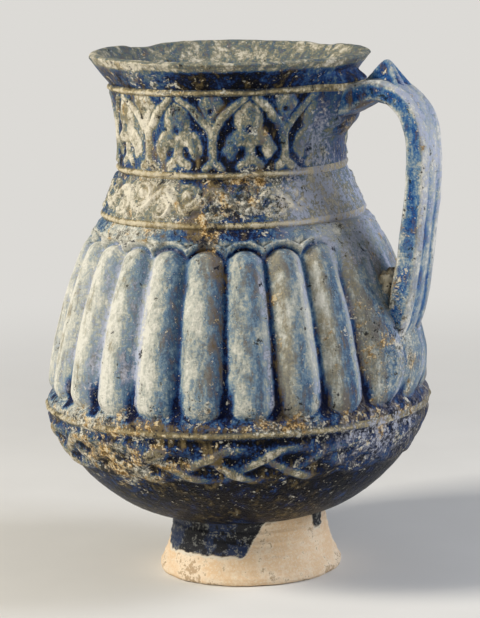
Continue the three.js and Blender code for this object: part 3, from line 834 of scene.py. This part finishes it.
def leaves(spots, bearing, way, radius):
    """Pointed leaves with curled sides, in a lattice of ribs that fork above and below."""
    height = spots[:, 2]
    along = way + 0.5 * lumps(spots, 6, 51)
    off_leaf = turn_from(LEAF_PHASE, bearing, math.tau / LEAVES) * LEAF_RADIUS
    across = np.abs(off_leaf + 0.6 * lumps(spots, 6, 52))
    leaf, lattice, fill, eye = (
        inside(across, along, strokes) for strokes in (LEAF, LATTICE, SPANDREL, EYES))
    eye = ease(-0.5, 0.7, eye)
    left = (1 - near_handle(bearing, 14, 26)) * (0.85 + 0.3 * lumps(spots, 10, 53))
    ends = ease(0, 0.8, way) * ease(25.8, 24.6, way)
    raised = most(1.5 * ease(-0.5, 2.6, leaf), 1.15 * ease(-0.6, 1.2, lattice), 0.6 * ease(-0.4, 1.2, fill))
    raised = raised - 0.8 * eye
    nearest = most(leaf, lattice, fill - 0.5)
    ribs = ease(-0.4, 0.5, lattice)
    rims = np.maximum(ease(-0.5, 0.3, leaf) * ease(2.2, 0.6, leaf), 0.8 * ribs)
    crest = most(ease(-0.5, 0.6, leaf), ribs, 0.8 * ease(-0.3, 0.6, fill))
    worn = 0.7 + 0.6 * lumps(spots, 5, 54)
    pool = np.maximum(1 - ease(-0.9, 0.3, nearest), 0.8 * eye) * left_pooled(bearing, height)
    return {
        "raised": raised * ends * left, "swell": swelling(bearing) * ease(150, 159, height),
        "lift": (0.5 * crest + 0.3 * rims * worn) * (1 - 0.7 * eye) * left + 0.1 * (1 - left),
        "pool": 0.85 * pool * left + 0.35 * (1 - left), "ochre": 0.2 * crest * left,
        "crust": 0.15 * (1 - crest) + 0.15}


def cast_band(name, node, lower, upper, curve, relief, rows, steps):
    """A stage of the body from one seam to the next, with a relief."""
    face = wall(above(lower), below(upper), *curve, rows)
    band = turned(name, face + inset(face), BODY_AXIS, steps)
    relieve(band, face, BODY_AXIS, relief)
    stand_for(band, node, cobalt_glaze)


# The lip. A chip is (degrees from the handle, half width in degrees, depth).

LIP_CURVE = (2.3, 3.3), (-2, -2.4)
RIM_WALL = 3.8
RIM_ROUND = 0.9
RIM_TILT = 0.9
RIM_HIGH_SIDE = math.radians(165)
RIM_REACH = 6
RIM_CHIPS = (160, 9, 1.0), (-150, 5, 1.0), (-64, 4, 0.3), (70, 8, 0.6), (-20, 6, 0.4)


def flared_lip():
    half, edge = RIM_WALL / 2, RIM_HEIGHT - RIM_ROUND
    face = wall(above(LIP_SEAM), (RIM_RADIUS, edge), *LIP_CURVE, steps=34)
    rim = [
        (RIM_RADIUS - half + half * math.cos(turn), edge + RIM_ROUND * math.sin(turn))
        for turn in np.linspace(0.2, math.pi, 12)]
    inner = wall((LIP_SEAM[0] - WALL, face[0][1]), rim[-1], *LIP_CURVE, steps=14)
    lip = turned("flared_lip_wall", face + rim + inner[::-1][1:], BODY_AXIS, steps=20)

    def thrown(spots, bearing, way, radius):
        top = ease(6.6, 8.4, way + 0.8 * lumps(spots, 7, 12))
        left = 1 - 0.5 * near_handle(bearing, 20, 60)
        return {
            "raised": 0.2 * lumps(spots, 5, 11), "swell": swelling(bearing) * ease(5.5, 0, way),
            "lift": 0.1 + 0.4 * top, "pool": (0.85 - 0.75 * top) * left, "ochre": 0.2 * top, "crust": 0.15}

    relieve(lip, face, BODY_AXIS, thrown)
    spots = spots_of(lip)
    x, y, height = spots.T
    degrees = np.degrees(np.arctan2(y, x - BODY_AXIS))
    sink = 0.35 * (lumps(spots, 16, 12) - 1) + 0.15 * lumps(spots, 4, 13)
    sink += RIM_TILT * (1 + np.cos(np.radians(degrees) - RIM_HIGH_SIDE))
    for place_at, wide, depth in RIM_CHIPS:
        sink -= depth * np.exp(-((turn_from(place_at, degrees) / wide) ** 4))
    place(lip, np.stack([x, y, height + sink * ease(RIM_HEIGHT - RIM_REACH, RIM_HEIGHT, height)], -1))
    stand_for(lip, "flared_lip", cobalt_glaze)


# The handle. A knot of the strap is (distance from the body's axis, height, half width, half thickness).

STRAP_HALF = 9.0
STRAP_THICK = 3.8
STRAP_STEPS = 12
SECTION_POINTS = 88
SIDE_ROUND = 0.45
FACE_ROUND = 0.6
SIDE_HOLLOW = 0.09
REED_GAP = 0.37
REED_HALF = 0.11
REED_DEPTH = 0.95
STRAP = [
    (30.4, 160.0, 9.4, 5.4), (35.4, 161.2, 9.4, 5.4), (39.4, 162.4, 9.6, 5.2), (43.8, 164.0, 9.6, 4.8),
    (48.8, 166.0, 9.3, 4.4), (55.8, 168.2, 9.0, 3.7), (63.2, 166.4, 9.0, 3.7), (68.9, 160.6, 9.0, 3.8),
    (71.4, 152.0, 9.0, 3.85), (71.4, 139.0, 9.0, 4.0), (70.1, 126.8, 9.0, 4.1), (68.3, 114.5, 9.0, 4.25),
    (65.9, 101.0, 9.2, 4.5), (63.9, 91.5, 9.6, 4.0), (62.0, 84.0, 10.2, 2.8), (60.6, 78.5, 10.6, 1.9),
    (58.5, 71.0, 11.0, 1.6),
]


def smooth_path(points, steps):
    """A smooth run of points through the given ones; the two at the ends only steer it."""
    spots = [Vector(point) for point in points]
    run = []
    for before, start, end, after in zip(spots, spots[1:], spots[2:], spots[3:]):
        pull = (end - start).length
        leave = (end - before).normalized() * pull / 3
        arrive = (after - start).normalized() * pull / 3
        run += geometry.interpolate_bezier(start, start + leave, end - arrive, end, steps + 1)[:-1]
    return run + [spots[-2]]


def strap_section():
    """(across, out) points round the strap, a flat bar with rounded edges and hollow sides."""
    section = []
    for turn in np.linspace(0, math.tau, SECTION_POINTS, endpoint=False):
        across = math.copysign(abs(math.cos(turn)) ** SIDE_ROUND, math.cos(turn))
        out = math.copysign(abs(math.sin(turn)) ** FACE_ROUND, math.sin(turn))
        hollow = SIDE_HOLLOW * max(0, 1 - out * out * 1.8) if abs(across) > 0.88 else 0
        section.append((STRAP_HALF * across * (1 - hollow), STRAP_THICK * out))
    return section


def swept(name, section, frames):
    """A closed bar: the section's face, extruded from each frame to the next.

    The layers across and out keep where each vertex lies in the section, from -1 to 1.
    """
    work = bmesh.new()
    for layer_name in ("across", "out"):
        work.verts.layers.float.new(layer_name)
    corners = []
    for across, out in section:
        corner = work.verts.new(frames[0] @ Vector((across, out, 0)))
        corner[work.verts.layers.float["across"]] = across / STRAP_HALF
        corner[work.verts.layers.float["out"]] = out / STRAP_THICK
        corners.append(corner)
    face = work.faces.new(corners)
    for start, end in zip(frames, frames[1:]):
        grown = bmesh.ops.extrude_face_region(work, geom=[face])["geom"]
        face = next(item for item in grown if isinstance(item, bmesh.types.BMFace))
        bmesh.ops.transform(work, matrix=end @ start.inverted(), verts=face.verts)
    return finished(name, work)


def strap_frames(path, widths, depths):
    """A frame at each point of the path: across, out of the loop, and along."""
    frames = []
    for index, spot in enumerate(path):
        ahead = path[min(index + 1, len(path) - 1)] - path[max(index - 1, 0)]
        along = Vector((ahead.x, 0, ahead.y)).normalized()
        across = Vector((0, 1, 0))
        out = along.cross(across).normalized()
        turn = Matrix((across * widths[index], out * depths[index], along)).transposed().to_4x4()
        shift = Matrix.Translation(Vector((BODY_AXIS + spot.x, 0, spot.y)) * MM)
        frames.append(shift @ turn @ Matrix.Scale(MM, 4))
    return frames


def kept(piece, name):
    """Values of a layer at each vertex."""
    values = np.empty(len(piece.data.vertices), np.float32)
    piece.data.attributes[name].data.foreach_get("value", values)
    return values.astype(float)


def push(piece, distance):
    """Moves each vertex along its normal."""
    place(piece, spots_of(piece) + vectors(piece, "normal") * distance[:, None])


def soften(piece, depth):
    """Takes away the evenness of a hand-formed piece."""
    push(piece, unevenness(spots_of(piece), (depth, 9, 14), (depth / 3, 3, 15), (0.06, 1.4, 16)))


def reeded_strap():
    """A pulled strap with hollow sides, three reeds that deepen downwards, and ends worked into the body."""
    path = smooth_path([knot[:2] for knot in STRAP], STRAP_STEPS)
    knots = np.array(STRAP[1:-1])
    share = np.linspace(0, len(knots) - 1, len(path))
    widths = np.interp(share, range(len(knots)), knots[:, 2]) / STRAP_HALF
    depths = np.interp(share, range(len(knots)), knots[:, 3]) / STRAP_THICK
    strap = swept("reeded_strap", strap_section(), strap_frames(path, widths, depths))
    across, out = np.abs(kept(strap, "across")), kept(strap, "out")
    x, _, height = spots_of(strap).T
    away = x - BODY_AXIS
    outer = ease(0.55, 0.8, out)
    deepened = 0.4 + 0.6 * ease(150, 128, height) * ease(66, 70, away + 6)
    gap = np.exp(-(((across - REED_GAP) / REED_HALF) ** 2)) * outer * deepened
    push(strap, -REED_DEPTH * gap)
    soften(strap, 0.35)
    spots = spots_of(strap)
    worn = np.clip(0.65 + 0.9 * lumps(spots, 8, 19), 0, 1.3)
    patch = lumps(spots, 14, 20)
    free = ease(41, 49, away)
    corner = ease(0.6, 0.9, across) * ease(0.3, 0.8, np.abs(out)) * worn * free
    hollow = ease(0.8, 0.9, across) * ease(0.8, 0.3, np.abs(out)) * ease(-0.3, 0.3, patch)
    # The inner face under the loop is painted darker, partly as stain and partly as painted shade.
    inner = ease(-0.6, -0.85, out) * ease(0.95, 0.8, across)
    bend = outer * ease(60, 68, away) * ease(116, 136, height)
    low = ease(132, 104, height)
    paint(
        strap, lift=np.maximum(0.6 * corner, 0.5 * outer * (1 - gap)), cream=0.25 * corner + 0.3 * patch,
        pool=most(0.5 * hollow, 0.5 * gap, 0.8 * inner), ochre=0.1 + 0.35 * corner + 0.15 * low + 0.3 * inner,
        haze=(0.4 + 0.25 * patch) * bend + 0.4 * outer * (1 - gap),
        crust=0.1 + 0.3 * low * (1 - outer) + 0.25 * corner + 0.2 * patch)
    stand_for(strap, "handle_strap", handle_glaze)


SPUR_FRONT = (50.0, 0, 171.2)
SPUR_PEAK = (58.6, 0, 180.4)
SPUR_SIDE = (67.4, 8.0, 166.4)
SPUR_TOE = (49.0, 3, 165.5)
SPUR_HEEL = (67.5, 7.0, 162.0)
SPUR_BEVEL = 1.2
SPUR_HOLLOW = 1.3
SPUR_CUTS = 4
SPUR_SMOOTHING = 80


def away_from(spots, start, end):
    """Distance of each spot from the straight line between two points."""
    start, end = np.array(start), np.array(end)
    share = np.clip((spots - start) @ (end - start) / np.sum((end - start) ** 2), 0, 1)
    return np.linalg.norm(spots - start - share[:, None] * (end - start), axis=1)


def thumb_spur():
    """A pinched spur with a blunt peak, hollow sides, and a back that spreads to the strap's edges."""
    work = bmesh.new()
    corners = [SPUR_FRONT, SPUR_PEAK]
    for x, y, height in (SPUR_SIDE, SPUR_TOE, SPUR_HEEL):
        corners += [(x, y, height), (x, -y, height)]
    for x, y, height in corners:
        work.verts.new(((BODY_AXIS + x) * MM, y * MM, height * MM))
    bmesh.ops.convex_hull(work, input=work.verts)
    bmesh.ops.bevel(
        work, geom=work.edges, offset=SPUR_BEVEL * MM, segments=2, profile=0.5, affect="EDGES", material=-1)
    bmesh.ops.triangulate(work, faces=work.faces)
    for _ in range(SPUR_CUTS):
        bmesh.ops.subdivide_edges(work, edges=work.edges, cuts=1, use_grid_fill=True)
    for _ in range(SPUR_SMOOTHING):
        bmesh.ops.smooth_vert(
            work, verts=work.verts, factor=0.5, use_axis_x=True, use_axis_y=True, use_axis_z=True)
    spur = finished("thumb_spur", work)
    x, y, height = (spots_of(spur) - np.array([BODY_AXIS, 0, 0])).T
    mirrored = np.stack([x, np.abs(y), height], -1)
    edge = np.minimum(
        away_from(mirrored, SPUR_FRONT, SPUR_PEAK), away_from(mirrored, SPUR_PEAK, SPUR_SIDE))
    on_side = ease(0.3, 1.2, np.abs(y)) * ease(67.0, 65.0, x) * ease(166, 169, height)
    push(spur, -SPUR_HOLLOW * ease(0.6, 3.4, edge) * on_side)
    soften(spur, 0.2)
    back_line = np.interp(height, [SPUR_SIDE[2], SPUR_PEAK[2]], [SPUR_SIDE[0], SPUR_PEAK[0]])
    back = ease(0.8, 2.2, x - back_line + 2)
    paint(
        spur, lift=0.2 * ease(2.4, 0.4, edge), pool=0.55 * ease(0.4, 3.0, edge) * on_side, ochre=0,
        haze=np.maximum(0.7 * back * (1 - on_side), 0.2 * ease(2.4, 0.6, edge)), crust=0.05)
    stand_for(spur, "thumb_rest", handle_glaze)


def clay_lump(name, node, slot, material, size, centre, lean, rough, **masks):
    """A lump of clay pressed into a joint and smoothed over, or left rough; it leans by degrees."""
    work = bmesh.new()
    x, y, height = centre
    turn = Matrix.Rotation(math.radians(lean), 3, "Y")
    bmesh.ops.create_uvsphere(work, u_segments=96, v_segments=64, radius=0.5 * MM)
    bmesh.ops.scale(work, vec=size, verts=work.verts)
    bmesh.ops.rotate(work, cent=(0, 0, 0), matrix=turn, verts=work.verts)
    bmesh.ops.translate(work, vec=Vector((BODY_AXIS + x, y, height)) * MM, verts=work.verts)
    lump = finished(name, work)
    push(lump, rough * unevenness(spots_of(lump), (1, 4, 17), (0.6, 1.6, 18)))
    paint(lump, **{layer: masks.get(layer, 0) for layer in LAYERS})
    stand_for(lump, node, material)


bare_foot()
foot_ridge = ridge("foot_ridge", FOOT_SEAM, FOOT_AXIS, FOOT_WALL, proud=0.2, wear=0)
glaze_apron(foot_ridge)
stand_for(foot_ridge, "foot_coil", fritware)
lower_bowl()
body_ridge("belly_ridge", "belly_coil", BELLY_SEAM, proud=1.1, wear=0.35)
fluted_belly()
body_ridge("shoulder_ridge", "shoulder_coil", SHOULDER_SEAM, proud=0.8, wear=0.6)
cast_band(
    "scroll_shoulder", "shoulder_band", SHOULDER_SEAM, NECK_SEAM, SHOULDER_CURVE, scroll, rows=44, steps=26)
body_ridge("neck_ridge", "neck_coil", NECK_SEAM, proud=1.0, wear=0.9)
cast_band("leaf_collar", "neck_collar", NECK_SEAM, LIP_SEAM, NECK_CURVE, leaves, rows=70, steps=28)
body_ridge("lip_ridge", "lip_coil", LIP_SEAM, proud=1.0, wear=0.6, swell=1.0)
flared_lip()
reeded_strap()
thumb_spur()
clay_lump(
    "root_pad", "handle_upper_pad", "handle_glaze", handle_glaze, size=(8, 18, 11),
    centre=(40.8, 0, 157.6), lean=30, rough=0.3, pool=0.6, ochre=0.5, crust=0.6)
clay_lump(
    "tail_pad", "handle_lower_pad", "flute_glaze", flute_glaze, size=(8.4, 21, 40),
    centre=(60.4, 0, 86.0), lean=-13, rough=0.3, lift=0.3, pool=0.3, ochre=0.3, haze=0.3, crust=0.6)
# The rough wad is made paler, partly as painted light where it sits in shadow.
clay_lump(
    "rough_wad", "crotch_wad", "luting_clay", clay_glaze, size=(7.5, 12, 8.8),
    centre=(58.9, 0, 103.4), lean=0, rough=1.5, lift=0.9, cream=0.7, ochre=0.6, crust=0.4)


# The floor, the light and the camera, in metres.

FLOOR_RADIUS = 14
FLOOR_SHADOW = 0.15, 0.6
LAMP_AIM = 0.09
CAMERA_TURN = math.radians(27.5)
CAMERA_AWAY = 0.9
CAMERA_HEIGHT = 0.243
CAMERA_ROLL = math.radians(-1.5)
FOCAL_PIXELS = 2624
PICTURE_HEIGHT = 618
SENSOR = 36
AIM_RIGHT = 0.0012
AIM_HEIGHT = 0.0908

UP = Vector((0, 0, 1))
sight = Vector((math.sin(CAMERA_TURN), -math.cos(CAMERA_TURN), 0))
rightwards = Vector((math.cos(CAMERA_TURN), math.sin(CAMERA_TURN), 0))
body_foot = Vector((BODY_AXIS * MM, 0, 0))


def floor():
    """Pale matt floor that takes the shadow near the object and goes over into an even ground far off."""
    work = bmesh.new()
    bmesh.ops.create_circle(work, cap_ends=True, segments=64, radius=FLOOR_RADIUS)
    ground = finished("pale_floor", work)
    material, tree, shader, coords = blank("pale floor paint")
    waves = {"Vector": coords, "Scale": per_metre(60), "Detail": 3}
    shade = add(tree, "TexNoise", waves).outputs["Fac"]
    colour = layered(tree, "#d9d7d2", [(mask(tree, [(shade, 1)], 0.3, 0.7), "#dddbd6")])
    feed(tree, shader, {"Base Color": colour, "Roughness": 0.9})
    rays = add(tree, "LightPath").outputs
    seen = rays["Is Camera Ray"]
    for kind in ("Is Glossy Ray", "Is Transmission Ray"):
        seen = add(tree, "Math", {0: seen, 1: rays[kind]}, operation="MAXIMUM").outputs[0]
    away = add(tree, "VectorMath", {0: coords}, operation="LENGTH").outputs["Value"]
    far_off = mask(tree, [(away, 1)], *FLOOR_SHADOW)
    far = add(tree, "Math", {0: seen, 1: far_off}, operation="MULTIPLY")
    even = add(tree, "Emission", {"Color": "#dcdad6"})
    mixed = add(tree, "MixShader", {0: far.outputs[0], 1: shader.outputs[0], 2: even.outputs[0]})
    feed(tree, tree.nodes["Material Output"], {"Surface": mixed.outputs[0]})
    ground.data.materials.append(material)


def lamp(name, turn, rise, away, size, power, colour):
    """A soft square lamp, placed by its turn from the camera's side and its rise, and aimed at the body."""
    data = bpy.data.lights.new(name, "AREA")
    data.size = size
    data.energy = power
    data.color = linear(colour)[:3]
    light = put(name, data)
    aim = body_foot + UP * LAMP_AIM
    way = Matrix.Rotation(math.radians(turn), 3, "Z") @ sight
    way = way * math.cos(math.radians(rise)) + UP * math.sin(math.radians(rise))
    light.location = aim + way * away
    light.rotation_euler = (-way).to_track_quat("-Z", "Y").to_euler()


def daylight():
    world = bpy.data.worlds.new("pale room")
    bpy.context.scene.world = world
    world.use_nodes = True
    tree = world.node_tree
    feed(tree, tree.nodes["Background"], {"Color": "#e6e8ec", "Strength": 0.16})


def camera():
    data = bpy.data.cameras.new("view")
    data.sensor_fit = "VERTICAL"
    data.sensor_height = SENSOR
    data.lens = SENSOR * FOCAL_PIXELS / PICTURE_HEIGHT
    data.clip_start = 0.05
    data.clip_end = 50
    view = put("view", data)
    aim = body_foot + rightwards * AIM_RIGHT + UP * AIM_HEIGHT
    view.location = body_foot + sight * CAMERA_AWAY + UP * CAMERA_HEIGHT
    look = (aim - view.location).to_track_quat("-Z", "Y").to_matrix() @ Matrix.Rotation(CAMERA_ROLL, 3, "Z")
    view.rotation_euler = look.to_euler()
    bpy.context.scene.camera = view


floor()
lamp("key", turn=-72, rise=34, away=1.0, size=0.28, power=11.2, colour="#fffaf0")
lamp("fill", turn=10, rise=10, away=1.2, size=0.6, power=2.0, colour="#fffdf8")
lamp("side", turn=84, rise=30, away=0.9, size=0.4, power=6.0, colour="#eef3ff")
daylight()
camera()
bpy.context.scene.view_settings.view_transform = "Standard"
